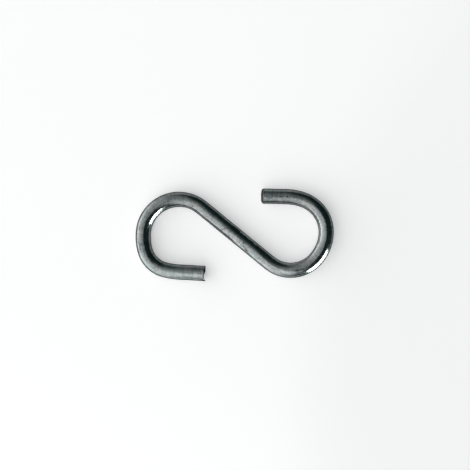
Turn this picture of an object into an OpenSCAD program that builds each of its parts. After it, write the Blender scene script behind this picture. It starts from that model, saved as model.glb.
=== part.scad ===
// S hook: one length of round steel wire, bent into two open eyes on a straight shank.
// It lies on its side: the S is in the XY plane, +Z is up, and the origin is on the surface
// that it lies on, under the middle of the shank. +X runs along the length of the hook.
// Each eye is bent by hand on a mandrel, so its radius changes from bend to bend.

/* [Wire] */
// Diameter of the wire
wire_d = 4; // [2:0.1:6]

/* [Shank] */
// Straight length between the two eyes
shank_length = 23; // [12:0.5:60]
// Direction of the left eye's end of the shank, turned from +X
shank_angle = 140.8; // [90:0.1:180]

/* [Left eye, from the shank to the tip] */
// Radius of the crown, to the middle of the wire
left_crown_r = 9.4; // [7:0.1:20]
// Turn of the crown
left_crown_angle = 125; // [90:0.1:135]
// Radius of the flatter side after the crown
left_side_r = 14.3; // [7:0.1:30]
// Turn of the flatter side
left_side_angle = 18.6; // [5:0.1:30]
// Radius of the sharp turn under the eye
left_turn_r = 7.2; // [5:0.1:20]
// Turn of the sharp turn
left_turn_angle = 60.9; // [40:0.1:70]
// Radius of the slow bend that leads into the tip
left_lead_r = 19.2; // [7:0.1:40]
// Turn of the slow bend
left_lead_angle = 11.5; // [5:0.1:20]
// Straight length of the tip
left_tip_length = 6.9; // [3:0.1:10]

/* [Right eye, from the shank to the tip] */
// Radius of the crown, to the middle of the wire
right_crown_r = 8.8; // [7:0.1:20]
// Turn of the crown
right_crown_angle = 85.5; // [70:0.1:100]
// Radius of the flatter side after the crown
right_side_r = 10.7; // [7:0.1:30]
// Turn of the flatter side
right_side_angle = 42.2; // [20:0.1:55]
// Radius of the turn over the eye
right_turn_r = 8.9; // [5:0.1:20]
// Turn of the turn over the eye
right_turn_angle = 66.2; // [40:0.1:75]
// Radius of the slow bend that leads into the tip
right_lead_r = 12.9; // [7:0.1:40]
// Turn of the slow bend
right_lead_angle = 24; // [5:0.1:35]
// Straight length of the tip
right_tip_length = 6.8; // [3:0.1:10]

/* [Left end, cut with shears] */
// Depth of the groove where the cuts from both sides met
shear_depth = 0.5; // [0.1:0.05:1.5]
// Width of the groove at the end face
shear_width = 2.3; // [0.5:0.1:3]
// Distance of the groove's bottom from the middle of the wire, towards the outside of the S
shear_offset = 0.8; // [0:0.1:1]

/* [Right end, rounded over] */
// Height of the dome on the end face
dome_height = 0.2; // [0.05:0.05:1]
// Depth of the chamfer round the dome, along the wire
chamfer = 0.3; // [0.1:0.05:0.8]

/* [Hidden] */

wire_r = wire_d / 2;

// The bends of each eye in order, walking outwards, each as [radius, turn]
left_bends = [
    [left_crown_r, left_crown_angle],
    [left_side_r, left_side_angle],
    [left_turn_r, left_turn_angle],
    [left_lead_r, left_lead_angle]
];
right_bends = [
    [right_crown_r, right_crown_angle],
    [right_side_r, right_side_angle],
    [right_turn_r, right_turn_angle],
    [right_lead_r, right_lead_angle]
];

// Smoothness of the previews: the surfaces are true rounds
$fn = 64;

// Angle turned before bend n
function turned(bends, n) = n == 0 ? 0 : turned(bends, n - 1) + bends[n - 1][1];

// Centre of bend n, in the frame of the shank: it lies in line with the centre of the bend before
function bend_centre(bends, n) =
    n == 0
        ? [shank_length / 2, bends[0][0]]
        : bend_centre(bends, n - 1)
            + (bends[n][0] - bends[n - 1][0])
                * [-sin(turned(bends, n)), cos(turned(bends, n))];

// End of the last bend, where the tip starts
function tip_start(bends) =
    let (last = len(bends) - 1, angle = turned(bends, last + 1))
        bend_centre(bends, last) + bends[last][0] * [sin(angle), -cos(angle)];

// Moves by a rounded step and then by its small remainder, so that the pieces of the wire still
// meet face to face where numbers are kept to six digits
module place(point) {
    step = 0.01;
    near_point = [for (v = point) round(v / step) * step];
    translate(near_point)
        translate(point - near_point)
            children();
}

// Turns about Z in the same two steps
module turn(angle) {
    digits = 1e6;
    near_cos = round(cos(angle) * digits) / digits;
    near_sin = round(sin(angle) * digits) / digits;
    multmatrix([[near_cos, -near_sin, 0], [near_sin, near_cos, 0], [0, 0, 1]])
        rotate(angle - atan2(near_sin, near_cos))
            children();
}

// Straight wire from the origin along +X
module straight(length) {
    rotate([0, 90, 0])
        cylinder(r = wire_r, h = length);
}

// Bends that walk outwards from the end of the shank, turning left, and then whatever the tip is
module eye(bends) {
    for (n = [0 : len(bends) - 1])
        place(bend_centre(bends, n))
            rotate_extrude(start = turned(bends, n) - 90, angle = bends[n][1])
                translate([bends[n][0], 0])
                    circle(r = wire_r);
    place(tip_start(bends))
        turn(turned(bends, len(bends)))
            children();
}

// Tip whose end face was cut from two sides and broke along a groove
module sheared_tip(length) {
    difference() {
        straight(length);
        translate([length, -shear_offset, 0])
            linear_extrude(2 * wire_d, center = true)
                polygon([
                    [-shear_depth, 0],
                    [shear_depth, -shear_width],
                    [shear_depth, shear_width]
                ]);
    }
}

// Tip whose end face is a low dome with a chamfer round it, turned about its own axis
module rounded_tip(length) {
    // Ball whose cap is as wide as the wire and as high as the dome
    ball_r = (wire_r ^ 2 + dome_height ^ 2) / (2 * dome_height);
    side = length - dome_height - chamfer;
    rotate([0, 90, 0])
        rotate_extrude()
            intersection() {
                polygon([[0, 0], [wire_r, 0], [wire_r, side], [0, side + wire_r]]);
                translate([0, length - ball_r])
                    circle(r = ball_r);
            }
}

module hook() {
    color("#858787")
        translate([0, 0, wire_r])
            rotate(shank_angle) {
                translate([-shank_length / 2, 0, 0])
                    straight(shank_length);
                eye(left_bends)
                    sheared_tip(left_tip_length);
                rotate(180)
                    eye(right_bends)
                        rounded_tip(right_tip_length);
            }
}

hook();
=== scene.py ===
import math

import bpy
import numpy as np
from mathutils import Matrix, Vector


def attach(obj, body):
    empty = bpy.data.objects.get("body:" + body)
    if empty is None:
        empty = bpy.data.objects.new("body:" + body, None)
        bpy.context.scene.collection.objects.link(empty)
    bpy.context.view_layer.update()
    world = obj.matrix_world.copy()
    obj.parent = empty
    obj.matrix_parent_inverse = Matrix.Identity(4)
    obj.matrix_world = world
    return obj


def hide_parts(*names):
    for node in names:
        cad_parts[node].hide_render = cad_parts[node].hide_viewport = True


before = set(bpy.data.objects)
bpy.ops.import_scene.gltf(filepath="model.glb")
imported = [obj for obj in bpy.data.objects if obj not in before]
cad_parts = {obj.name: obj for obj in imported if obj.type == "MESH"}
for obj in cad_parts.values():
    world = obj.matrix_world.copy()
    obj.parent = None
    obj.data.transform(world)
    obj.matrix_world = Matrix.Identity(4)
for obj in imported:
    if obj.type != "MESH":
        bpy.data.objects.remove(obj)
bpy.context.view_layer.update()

# ---------------------------------------------------------------- sizes, in mm, as in the part
WIRE_R = 2.0
HALF_SHANK = 11.5
SHANK_ANGLE = 140.8  # degrees
# Bends of each eye, walking outwards from the shank: radius, and turn in degrees
LEFT = [(9.4, 125.0), (14.3, 18.6), (7.2, 60.9), (19.2, 11.5)]
RIGHT = [(8.8, 85.5), (10.7, 42.2), (8.9, 66.2), (12.9, 24.0)]
LEFT_TIP = 6.9
RIGHT_TIP = 6.8
SHEAR_DEPTH, SHEAR_HALF_WIDTH, SHEAR_OFFSET = 0.5, 1.15, 0.8
DOME, CHAMFER = 0.2, 0.3

# ---------------------------------------------------------------- fineness of the mesh, in mm
LINE_STEP = 0.02  # distance between points of the middle line
RING_STEP = 0.19  # distance between rings of the mesh along the wire
FINE_STEP = 0.09  # the same where there are small marks
FINE = [(0.0, 4.0), (51.0, 60.5), (102.5, 111.0)]  # those stretches, along the wire
AROUND = 112  # points in a ring
CAP_RINGS = 26  # rings of an end face
RIM_RINGS = 8  # the outermost of them, which lie closer together
END_REACH = 2.5  # length over which the rings take on the form of an end


def walk(heading, bends, tip):
    """Points of half the middle line, from its middle to a tip: x, y, heading and distance."""
    x, y, a, s = 0.0, 0.0, math.radians(heading), 0.0
    rows = []
    stretches = [(None, HALF_SHANK)]
    stretches += [(r, math.radians(turn) * r) for r, turn in bends]
    stretches += [(None, tip)]
    for r, length in stretches:
        steps = max(1, round(length / LINE_STEP))
        for i in range(steps + 1):
            d = length * i / steps
            if r is None:
                here = (x + d * math.cos(a), y + d * math.sin(a), a, s + d)
            else:
                b = a + d / r
                dx = r * (math.sin(b) - math.sin(a))
                dy = r * (math.cos(b) - math.cos(a))
                here = (x + dx, y - dy, b, s + d)
            if i < steps:
                rows.append(here)
        x, y, a, s = here
    return rows + [here]


def middle_line():
    """The whole middle line from the left tip to the right tip, with the heading of the walk."""
    left = walk(SHANK_ANGLE, LEFT, LEFT_TIP)
    right = walk(SHANK_ANGLE + 180, RIGHT, RIGHT_TIP)
    end = left[-1][3]
    whole = [(x, y, a + math.pi, end - s) for x, y, a, s in reversed(left)]
    whole += [(x, y, a, end + s) for x, y, a, s in right[1:]]
    return np.array(whole)


LINE = middle_line()
LENGTH = LINE[-1, 3]


def ring_places():
    """Distances along the wire of the rings of the mesh."""
    along = LINE[:, 3]
    step = np.full(len(along), RING_STEP)
    for low, high in FINE:
        step[(along >= low) & (along <= high)] = FINE_STEP
    count = np.concatenate([[0], np.cumsum(np.diff(along) / step[1:])])
    return np.interp(np.linspace(0, count[-1], round(count[-1]) + 1), count, along)


def smooth(x, low, high):
    t = np.clip((x - low) / (high - low), 0, 1)
    return t * t * (3 - 2 * t)


def bell(x, width):
    return np.exp(-((x / width) ** 2))


# ---------------------------------------------------------------- the two ends
# Coordinates on the wire, in mm: along it from the left tip's end, across it (positive on the
# left of the walk from the left tip to the right), and above its middle line. Angles round an
# end are in radians, from the positive side across.
RIM_LEAST, RIM_R = 0.20, 0.46  # rounding of the left end's rim, at its least and its widest
RIM_AT, RIM_SPREAD = 1.9, 0.8  # angle at which it is widest, and the reach of that
RIM_POWER = 10  # how closely the burrs keep to the rim
# Burrs: height, angle, reach of the angle
BURRS = [(0.32, 0.0, 0.35), (0.10, math.pi, 0.5)]
TEAR_DEPTH, TEAR_REACH = 0.028, 0.6  # of the torn grain in the groove
# Its waves: strength, radians to the mm above and across, shift
TEAR_WAVES = [(1.0, 5.3, 3, 0), (0.7, 11.7, -5, 1), (0.5, 19, 8, 2)]
INNER_CHAMFER = 0.1  # how much deeper the right end's chamfer is on the inside of the eye
CHAMFER_BLEND = 0.06  # softness of the edge between the chamfer and the dome


def left_end(across, up):
    """How far the left end stands out: a groove between two cuts, a rounded rim, and burrs."""
    rho = np.hypot(across, up)
    off_groove = across - SHEAR_OFFSET
    groove = SHEAR_DEPTH * np.clip(1 - np.abs(off_groove) / SHEAR_HALF_WIDTH, 0, 1)
    turn = np.abs(np.arctan2(up, across))
    radius = RIM_LEAST + (RIM_R - RIM_LEAST) * bell(turn - RIM_AT, RIM_SPREAD)
    over = np.clip(rho - (WIRE_R - radius), 0, radius)
    drop = radius - np.sqrt(radius**2 - over**2)
    burr = sum(size * bell(turn - at, reach) for size, at, reach in BURRS)
    tear = sum(
        size * np.sin(per_up * up + per_across * across + shift)
        for size, per_up, per_across, shift in TEAR_WAVES
    )
    tear = TEAR_DEPTH * tear * bell(off_groove, TEAR_REACH)
    return -groove - drop + burr * (rho / WIRE_R) ** RIM_POWER + tear


def right_end(across, up):
    """The same for the right end: a low dome with a chamfer round it."""
    rho = np.hypot(across, up)
    ball = (WIRE_R**2 + DOME**2) / (2 * DOME)
    dome = np.sqrt(np.maximum(ball**2 - rho**2, 0)) - ball
    deeper = INNER_CHAMFER * np.clip(across / WIRE_R, 0, 1)
    chamfer = -DOME - CHAMFER + (WIRE_R - rho) - deeper
    return -CHAMFER_BLEND * np.logaddexp(-dome / CHAMFER_BLEND, -chamfer / CHAMFER_BLEND)


def left_rim_torn_and_shade(across):
    """Darkness of the left end's rim, torn metal and painted shade: less on the inside of the
    eye.
    """
    return 0.9 - 0.45 * smooth(-across, 0.7, 1.3)


def right_rim_rubbed_and_shade(across):
    """Darkness of the right end's rim, rubbed metal and painted shade: less on the inside of the
    eye.
    """
    return 0.8 - 0.45 * smooth(across, -0.3, 0.8)


# ---------------------------------------------------------------- marks on the sides, in mm
# Pits on the upper side: along, across, half length, half width, depth
PITS = [
    (51.71, -0.47, 0.16, 0.13, 0.030),
    (52.33, 0.11, 0.13, 0.12, 0.022),
    (51.45, -1.09, 0.14, 0.16, 0.024),
    (53.90, -1.32, 0.16, 0.15, 0.026),
    (57.98, -0.34, 0.17, 0.14, 0.028),
    (58.55, -0.99, 0.15, 0.15, 0.026),
    (59.75, -1.36, 0.42, 0.15, 0.050),
    (41.28, -1.02, 0.16, 0.14, 0.020),
    (107.69, 0.46, 0.16, 0.14, 0.034),
    (103.07, 0.04, 0.20, 0.16, 0.024),
]
PIT_DARK, PIT_DULL = 1.0, 0.5
STAIN = 2.2  # size of the stain round a pit, against the pit's
STAIN_DARK, STAIN_DULL = 0.25, 0.3
# Scratches on the upper side: from, to, across at each end, half width
SCRATCHES = [
    (18.2, 21.4, 0.80, 1.26, 0.16),
    (43.0, 46.5, 0.20, 0.05, 0.06),
    (66.0, 70.5, -0.70, -0.55, 0.06),
    (90.2, 93.8, 0.65, 0.80, 0.07),
]
SCRATCH_DEPTH, SCRATCH_DARK, SCRATCH_DULL = 0.012, 0.55, 0.5
SCRATCH_FADE = 0.25  # share of its length over which each end of a scratch fades
# Patches painted brighter or darker where the reflected light is brighter or darker, painted
# light and shade: along, across, half length, half width, and the change of brightness
PAINTED_LIGHT_PATCHES = [
    (1.6, 0.4, 2.2, 1.3, 0.22),
    (6.0, 0.6, 6.5, 1.5, 0.45),
    (22.0, 0.0, 6.0, 2.5, -0.12),
    (71.5, 0.2, 4.2, 1.8, 0.38),
    (87.5, 1.3, 4.0, 0.7, 0.22),
]
# Rings that the shears' jaws pressed into the left tip: along, half width, depth
JAW_RINGS = [
    (0.75, 0.11, 0.022),
    (1.12, 0.11, 0.018),
    (1.50, 0.12, 0.020),
    (2.40, 0.11, 0.014),
    (2.76, 0.11, 0.014),
    (3.12, 0.12, 0.012),
]
JAW_SLANT = 0.05  # how far a ring slants along the wire for each mm across
JAW_LEAST = 0.1  # strength of a ring on the sides of the wire where it is faintest
JAW_DULL = 0.35
# The burr bent over the outside of the left end, darkened by torn metal and painted shade
BURR_REACH = 0.95  # along the wire
BURR_FROM, BURR_TO = 1.0, 1.4  # distances across between which it sets in
BURR_DULL = 0.5
# Painted shade on the edge of the groove's upper flank at the left end: along, across, half
# length, half width
FLANK_SHADE = (0.0, 0.25, 0.45, 0.45)
FLANK_SHADE_DARK = 0.8
# A faint ring where the right end is rounded over: distance from that end, half width, darkness
TIP_RING = (0.6, 0.22, 0.25)
DRIED_RING = (107.86, -0.03, 0.72)  # on the right tip: along, across, radius
RING_DARK, RING_DULL, MIDDLE_DULL = 0.42, 0.35, 0.25
# Ripples that the mandrel left on the right eye's outer bend: along, across, half length, half
# width, depth
RIPPLES = (79.0, -0.1, 2.6, 0.75, 0.0045)
# Waviness of the hand-bent wire: wave length and size, for each number of lobes round the wire
WAVES = [(9.0, 0.0060), (5.5, 0.0045), (3.6, 0.0030), (2.3, 0.0016), (1.4, 0.0008)]
LOBES = (0, 1, 2, 3, 5)
WAVE_SEED = 11


def surface_marks(along, across, up):
    """Depth of the marks on the sides, and how dark, dull and bright they make the surface, with
    painted light and shade among them.
    """
    top = smooth(up, -0.2, 0.4)

    def spot(s, d, half_length, half_width):
        return bell(along - s, half_length) * bell(across - d, half_width) * top

    depth, dark, dull, bright = (np.zeros_like(along) for _ in range(4))
    for s, d, half_length, half_width, deep in PITS:
        pit = spot(s, d, half_length, half_width)
        stain = spot(s, d, STAIN * half_length, STAIN * half_width)
        depth += deep * pit
        dark += PIT_DARK * pit + STAIN_DARK * stain
        dull += PIT_DULL * pit + STAIN_DULL * stain
    for s0, s1, d0, d1, half_width in SCRATCHES:
        t = (along - s0) / (s1 - s0)
        fade_in = smooth(t, 0, SCRATCH_FADE)
        fade_out = 1 - smooth(t, 1 - SCRATCH_FADE, 1)
        scratch = bell(across - (d0 + (d1 - d0) * t), half_width) * fade_in * fade_out * top
        depth += SCRATCH_DEPTH * scratch
        dark += SCRATCH_DARK * scratch
        dull += SCRATCH_DULL * scratch
    for s, half_width, deep in JAW_RINGS:
        # A ring is deep on some sides of the wire and faint on others
        strength = 0.55 + 0.45 * np.sin(3.1 * s + 1.3 * across + 2.0 * up)
        strength = np.clip(strength, JAW_LEAST, 1)
        ring = bell(along - s - JAW_SLANT * across, half_width) * strength
        depth += deep * ring
        dull += JAW_DULL * ring
    # The burr is darkened: partly torn metal, partly painted shade
    burr = bell(along, BURR_REACH) * smooth(across, BURR_FROM, BURR_TO)
    dark += burr
    dull += BURR_DULL * burr
    # Painted shade on the edge of the groove's upper flank
    dark += FLANK_SHADE_DARK * spot(*FLANK_SHADE)
    from_end, half_width, darkness = TIP_RING
    dark += darkness * bell(LENGTH - from_end - along, half_width)
    # The dried ring, which is broken and has a dull middle
    s, d, radius = DRIED_RING
    r = np.hypot(along - s, across - d) / radius
    broken = 0.65 + 0.35 * np.sin(2 * np.arctan2(across - d, along - s) + 0.8)
    dark += RING_DARK * bell(r - 1, 0.22) * broken * top
    dull += (RING_DULL * bell(r - 1, 0.3) + MIDDLE_DULL * bell(r, 0.9)) * top
    *place, deep = RIPPLES
    ripple = np.sin(along * 8.3 + 0.9 * across + 0.6 * np.sin(along * 2.1))
    depth += deep * ripple * spot(*place)
    # Painted light and shade: patches brighter or darker where the reflected light differs
    for *place, change in PAINTED_LIGHT_PATCHES:
        bright += change * spot(*place)
    return depth, dark, dull, bright


def wobble(along, turn):
    """How far the hand-bent wire departs from a true round, with random but fixed waves."""
    draw = np.random.default_rng(WAVE_SEED)
    out = np.zeros_like(along)
    for wave, size in WAVES:
        for lobes in LOBES:
            a, b = draw.uniform(0, 2 * math.pi, 2)
            length = wave * draw.uniform(0.8, 1.25)
            out += size * np.sin(along * 2 * math.pi / length + a) * np.cos(lobes * turn + b)
    return out


# ---------------------------------------------------------------- the mesh of the wire
MARK_DEPTH = 0.002  # from this depth on, a mark also shows beside an end, where waviness fades
END_CALM = 1.5  # length beside an end over which waviness fades
CUT_EDGE = 0.06  # width over which an end face's rim turns from plating to cut metal
# The rims of the end faces are darkened, partly cut metal and partly painted shade
TORN_AND_SHADE_FROM, TORN_AND_SHADE_TO = 0.5, 1.1  # distances from the rim between which its darkness fades
TORN_AND_SHADE_LEFT = 0.3  # share of that darkness that is left inside


def side_points(places, turn):
    """The rings of the sides, in the columns of wire_mesh."""
    along = np.repeat(places[:, None], AROUND, 1)
    turns = np.repeat(turn[None], len(places), 0)
    across, up = WIRE_R * np.cos(turns), WIRE_R * np.sin(turns)
    # The rings near an end slide along the wire to meet the end's form
    near_left = 1 - smooth(along, 0.0, END_REACH)
    near_right = smooth(along, LENGTH - END_REACH, LENGTH)
    along = along - near_left * left_end(across, up) + near_right * right_end(across, up)
    depth, dark, dull, bright = surface_marks(along, across, up)
    calm = smooth(along, 0.0, END_CALM) * (1 - smooth(along, LENGTH - END_CALM, LENGTH))
    out = (wobble(along, turns) - depth) * np.where(depth > MARK_DEPTH, 1.0, calm)
    scale = 1 + out / WIRE_R
    columns = [along, across * scale, up * scale, dark, dull, np.zeros_like(dark), bright]
    return np.stack(columns, -1).reshape(-1, 7)


def cap_points(at, form, outwards, torn, rho, turn):
    """A ring of radius rho on an end face, or its middle point, in the columns of wire_mesh."""
    if rho > 0:
        across, up = rho * np.cos(turn), rho * np.sin(turn)
    else:
        across, up = np.zeros(1), np.zeros(1)
    blank = np.zeros(len(across))
    inside = WIRE_R - rho
    cut = blank + smooth(inside, 0.0, CUT_EDGE)
    # The rim's darkness is partly cut metal and partly painted shade
    dark = torn(across) * cut * (1 - (1 - TORN_AND_SHADE_LEFT) * smooth(inside, TORN_AND_SHADE_FROM, TORN_AND_SHADE_TO))
    place = at + outwards * form(across, up)
    return np.stack([place, across, up, dark, blank, cut, blank], -1)


def wire_mesh():
    """The points, as rows of along, across, up, dark, dull, cut and bright, and the faces."""
    turn = np.linspace(0, 2 * math.pi, AROUND, endpoint=False)
    places = ring_places()
    n = len(places)
    quarter = [math.pi / 2 * (1 - k / RIM_RINGS) for k in range(1, RIM_RINGS + 1)]
    rims = [WIRE_R - RIM_R + RIM_R * math.sin(a) for a in quarter]
    inner = CAP_RINGS - RIM_RINGS
    rims += [rims[-1] * (1 - k / inner) for k in range(1, inner + 1)]
    parts = [side_points(places, turn)]
    for end in ((0.0, left_end, -1, left_rim_torn_and_shade), (LENGTH, right_end, 1, right_rim_rubbed_and_shade)):
        parts += [cap_points(*end, rho, turn) for rho in rims]
    ring = np.arange(AROUND)
    step = np.roll(ring, -1)
    faces = []
    for i in range(n - 1):
        low, high = i * AROUND, (i + 1) * AROUND
        faces += zip(low + ring, low + step, high + step, high + ring)
    start = n * AROUND
    for flip, rim in ((True, 0), (False, (n - 1) * AROUND)):
        for rho in rims:
            if rho > 0:
                strip = list(zip(rim + ring, rim + step, start + step, start + ring))
                rim, start = start, start + AROUND
            else:
                strip = [(rim + j, rim + k, start) for j, k in zip(ring, step)]
                start += 1
            faces += [f[::-1] for f in strip] if flip else strip
    return np.concatenate(parts), [tuple(int(v) for v in f) for f in faces]


def to_frame(on_wire):
    """Wire coordinates in the frame of the part, still in mm."""
    s = np.clip(on_wire[:, 0], 0, LENGTH)
    over = on_wire[:, 0] - s
    x, y, a = (np.interp(s, LINE[:, 3], LINE[:, k]) for k in range(3))
    across = on_wire[:, 1]
    x = x - np.sin(a) * across + np.cos(a) * over
    y = y + np.cos(a) * across + np.sin(a) * over
    return np.stack([x, y, WIRE_R + on_wire[:, 2]], -1)


points, faces = wire_mesh()
mesh = bpy.data.meshes.new("hook_wire")
mesh.from_pydata((to_frame(points) / 1000).tolist(), [], faces)
mesh.update()
mesh.polygons.foreach_set("use_smooth", [True] * len(mesh.polygons))
wire_mm = mesh.attributes.new("wire_mm", "FLOAT_VECTOR", "POINT")
wire_mm.data.foreach_set("vector", points[:, :3].astype(np.float32).ravel())
for k, name in ((3, "dark"), (4, "dull"), (5, "cut"), (6, "bright")):
    values = np.clip(points[:, k], -1, 1).astype(np.float32)
    mesh.attributes.new(name, "FLOAT", "POINT").data.foreach_set("value", values)
wire = bpy.data.objects.new("hook_wire", mesh)
bpy.context.scene.collection.objects.link(wire)
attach(wire, "root")
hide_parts("hook")


# ---------------------------------------------------------------- helpers for nodes
def node(tree, kind, **values):
    made = tree.nodes.new("ShaderNode" + kind)
    for name, value in values.items():
        setattr(made, name, value)
    return made


def set_inputs(made, **values):
    """Sets sockets of a node, on which Base_Color stands for Base Color."""
    for name, value in values.items():
        made.inputs[name.replace("_", " ")].default_value = value


def attribute(tree, name, output="Fac"):
    return node(tree, "Attribute", attribute_name=name).outputs[output]


def maths(tree, operation, *values):
    """A Math node on numbers or outputs, and its output."""
    made = node(tree, "Math", operation=operation)
    for socket, value in zip(made.inputs, values):
        if isinstance(value, (int, float)):
            socket.default_value = value
        else:
            tree.links.new(value, socket)
    return made.outputs[0]


def weighted(tree, base, *terms):
    """base plus each output times its weight."""
    total = base
    for output, weight in terms:
        total = maths(tree, "MULTIPLY_ADD", output, weight, total)
    return total


def noise(tree, per_mm, detail=3.0, roughness=0.55, shift=0.0):
    """Noise on the wire from -0.5 to 0.5, with per_mm waves to the mm along, across and above."""
    scaled = node(tree, "VectorMath", operation="MULTIPLY_ADD")
    scaled.inputs[1].default_value = per_mm
    scaled.inputs[2].default_value = (shift, shift, shift)
    tree.links.new(attribute(tree, "wire_mm", "Vector"), scaled.inputs[0])
    made = node(tree, "TexNoise")
    set_inputs(made, Scale=1.0, Detail=detail, Roughness=roughness)
    tree.links.new(scaled.outputs[0], made.inputs["Vector"])
    return maths(tree, "SUBTRACT", made.outputs["Fac"], 0.5)


# ---------------------------------------------------------------- plated steel
COOL_STEEL = (0.208, 0.236, 0.236, 1)
WARM_STEEL = (0.225, 0.236, 0.232, 1)
LEAST_ROUGHNESS = 0.10
BUMP_HEIGHT = 0.000014  # metres

steel = bpy.data.materials.new("plated_steel")
steel.use_nodes = True
tree = steel.node_tree
shader = tree.nodes["Principled BSDF"]
set_inputs(shader, Metallic=1.0, Specular_Tint=(0.0, 0.0, 0.0, 1))
mottle = noise(tree, (0.9, 1.3, 1.3), detail=5.0, roughness=0.65)
cloud = noise(tree, (0.22, 0.3, 0.3), detail=2.0, shift=7.0)
draw_lines = noise(tree, (0.10, 2.8, 2.8), shift=13.0)
cross_lines = noise(tree, (1.9, 0.36, 0.36), shift=29.0)
grain = noise(tree, (2.3, 2.3, 2.3), shift=41.0)
dark, dull, cut, bright = (attribute(tree, name) for name in ("dark", "dull", "cut", "bright"))

tone = weighted(
    tree,
    1.0,
    (mottle, 0.9),
    (cloud, 0.25),
    (draw_lines, 0.4),
    (cross_lines, 0.75),
    (grain, 1.1),
    # The cut ends are darker: partly cut metal, partly painted shade
    (cut, -0.40),
    # bright holds the painted light and shade of the patches
    (bright, 1.0),
)
# dark holds pits, stains and scratches, and painted shade on the left end's groove flank and burr
# and on the rims of both ends
tone = maths(tree, "MULTIPLY", tone, weighted(tree, 1.0, (dark, -0.9)))
hue = node(tree, "Mix", data_type="RGBA")
hue.inputs["A"].default_value = COOL_STEEL
hue.inputs["B"].default_value = WARM_STEEL
tree.links.new(weighted(tree, 0.4, (cloud, 2.5), (mottle, 0.8)), hue.inputs["Factor"])
colour = node(tree, "VectorMath", operation="SCALE")
tree.links.new(hue.outputs["Result"], colour.inputs[0])
tree.links.new(tone, colour.inputs["Scale"])
tree.links.new(colour.outputs[0], shader.inputs["Base Color"])

rough = weighted(
    tree,
    0.15,
    (mottle, 0.14),
    (draw_lines, 0.12),
    (cross_lines, 0.10),
    (dull, 0.30),
    (cut, 0.32),
)
rough = maths(tree, "MAXIMUM", rough, LEAST_ROUGHNESS)
tree.links.new(rough, shader.inputs["Roughness"])

height = weighted(
    tree,
    0.0,
    (mottle, 1.0),
    (draw_lines, 0.6),
    (cross_lines, 0.7),
    (grain, 0.5),
)
bump = node(tree, "Bump")
set_inputs(bump, Strength=1.0, Distance=BUMP_HEIGHT)
tree.links.new(height, bump.inputs["Height"])
tree.links.new(bump.outputs["Normal"], shader.inputs["Normal"])
mesh.materials.append(steel)

# ---------------------------------------------------------------- floor
FLOOR_HALF = 3.0  # metres
FLOOR_GLOW = 0.36  # strength at which the camera, metal and glass see the floor glow
WHITE = (1, 1, 1, 1)

floor_mesh = bpy.data.meshes.new("floor")
corners = [(x * FLOOR_HALF, y * FLOOR_HALF, 0) for x, y in ((-1, -1), (1, -1), (1, 1), (-1, 1))]
floor_mesh.from_pydata(corners, [], [(0, 1, 2, 3)])
floor = bpy.data.objects.new("floor", floor_mesh)
bpy.context.scene.collection.objects.link(floor)
paper = bpy.data.materials.new("paper")
paper.use_nodes = True
tree = paper.node_tree
pale = tree.nodes["Principled BSDF"]
set_inputs(pale, Base_Color=(0.9, 0.9, 0.9, 1), Roughness=0.15, IOR=1.5)
set_inputs(pale, Coat_Weight=1.0, Coat_Roughness=0.03, Coat_IOR=1.8)
set_inputs(pale, Emission_Color=WHITE)
ray = node(tree, "LightPath").outputs
shown = maths(tree, "MAXIMUM", ray["Is Glossy Ray"], ray["Is Transmission Ray"])
shown = maths(tree, "MAXIMUM", ray["Is Camera Ray"], shown)
tree.links.new(maths(tree, "MULTIPLY", shown, FLOOR_GLOW), pale.inputs["Emission Strength"])
floor_mesh.materials.append(paper)


# ---------------------------------------------------------------- light
def polar(azimuth, elevation, distance=1):
    a, e = math.radians(azimuth), math.radians(elevation)
    return (
        distance * math.cos(a) * math.cos(e),
        distance * math.sin(a) * math.cos(e),
        distance * math.sin(e),
    )


# A softbox that faces the hook from the front right. Only glossy surfaces show it, at its
# radiance: the sky alone lights what is matt.
SOFTBOX_PLACE = polar(-42.2, 14.2, 0.8)
SOFTBOX_WIDTH, SOFTBOX_HEIGHT = 0.490, 0.286
SOFTBOX_RADIANCE = 21.0

light = bpy.data.lights.new("softbox", "AREA")
light.shape = "RECTANGLE"
light.size, light.size_y = SOFTBOX_WIDTH, SOFTBOX_HEIGHT
light.energy = SOFTBOX_RADIANCE * math.pi * SOFTBOX_WIDTH * SOFTBOX_HEIGHT
softbox = bpy.data.objects.new("softbox", light)
softbox.location = SOFTBOX_PLACE
softbox.rotation_mode = "QUATERNION"
softbox.rotation_quaternion = (-Vector(SOFTBOX_PLACE)).to_track_quat("-Z", "Y")
softbox.visible_camera = False
softbox.visible_diffuse = False
bpy.context.scene.collection.objects.link(softbox)

world = bpy.data.worlds.new("studio")
bpy.context.scene.world = world
world.use_nodes = True
tree = world.node_tree
sky = node(tree, "TexCoord").outputs["Generated"]


def ramp_towards(direction, start, end, first, last):
    """A smooth change from one value to another over the cosine of the angle to a direction."""
    dot = node(tree, "VectorMath", operation="DOT_PRODUCT")
    dot.inputs[1].default_value = direction
    tree.links.new(sky, dot.inputs[0])
    ramp = node(tree, "MapRange", interpolation_type="SMOOTHERSTEP", clamp=True)
    set_inputs(ramp, From_Min=start, From_Max=end, To_Min=first, To_Max=last)
    tree.links.new(dot.outputs["Value"], ramp.inputs["Value"])
    return ramp.outputs["Result"]


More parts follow.
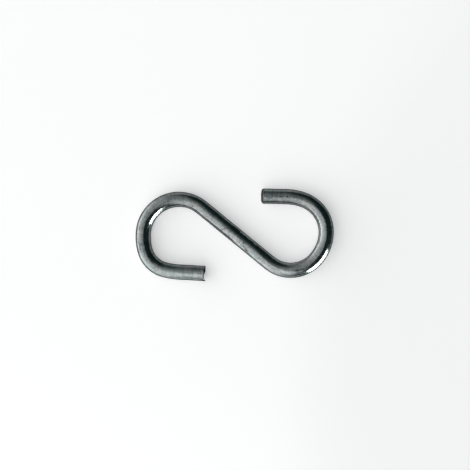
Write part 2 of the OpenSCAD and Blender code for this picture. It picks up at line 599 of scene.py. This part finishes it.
# Flags that darken the sky over the hook, on its right half, low in front, and high at the
# front right: azimuth, elevation, the cosines of the angle to that direction between which the
# flag sets in, and the share of the light that stays
FLAGS = [
    (-14, 63, 0.903, 0.938, 0.0),
    (8, -20, -0.38, 0.30, 0.0),
    (290, -5, 0.75, 0.95, 0.3),
    (303, 42, 0.94, 0.99, 0.3),
]
UP = (0, 0, 1)
WALL_FADE = [math.sin(math.radians(elevation)) for elevation in (8, 11)]
BLACK = (0.020, 0.042, 0.042, 1)  # of the darkest sky

# A wide soft light that fades from the left to the right
grey = ramp_towards(polar(207, -11), -1.5, 2.5, 0.0, 3.0)
for azimuth, elevation, start, end, stays in FLAGS:
    flag = ramp_towards(polar(azimuth, elevation), start, end, 1.0, stays)
    grey = maths(tree, "MULTIPLY", grey, flag)
# More light high in front
grey = maths(tree, "ADD", grey, ramp_towards(polar(254, 58), 0.855, 1.016, 0.0, 0.4))
# More light low on the left
height = ramp_towards(UP, 0.0, 0.5, 1.0, 0.0)
side = ramp_towards(polar(185, 0), 0.4, 0.95, 0.0, 1.3)
grey = maths(tree, "ADD", grey, maths(tree, "MULTIPLY", height, side))
# A pale wall beyond the floor, from the left round to the far side
height = ramp_towards(UP, *WALL_FADE, 1.0, 0.0)
side = ramp_towards(polar(142, 0), 0.2, 0.5, 0.0, 0.62)
grey = maths(tree, "MAXIMUM", grey, maths(tree, "MULTIPLY", height, side))
tint = node(tree, "Mix", data_type="RGBA", clamp_factor=False)
tint.inputs["A"].default_value = BLACK
tint.inputs["B"].default_value = WHITE
tree.links.new(grey, tint.inputs["Factor"])
tree.links.new(tint.outputs["Result"], tree.nodes["Background"].inputs["Color"])

# ---------------------------------------------------------------- camera
LENS, SENSOR = 100.0, 36.0  # mm
FRAME_WIDTH = 0.12344  # of the picture at the middle of the wire, in metres
CAMERA_X, CAMERA_Y = -0.00015, 0.00002

camera_data = bpy.data.cameras.new("camera")
camera_data.lens, camera_data.sensor_width = LENS, SENSOR
camera_data.clip_start, camera_data.clip_end = 0.01, 20.0
camera = bpy.data.objects.new("camera", camera_data)
camera.location = (CAMERA_X, CAMERA_Y, WIRE_R / 1000 + LENS / SENSOR * FRAME_WIDTH)
bpy.context.scene.collection.objects.link(camera)
bpy.context.scene.camera = camera
bpy.context.scene.view_settings.view_transform = "Standard"
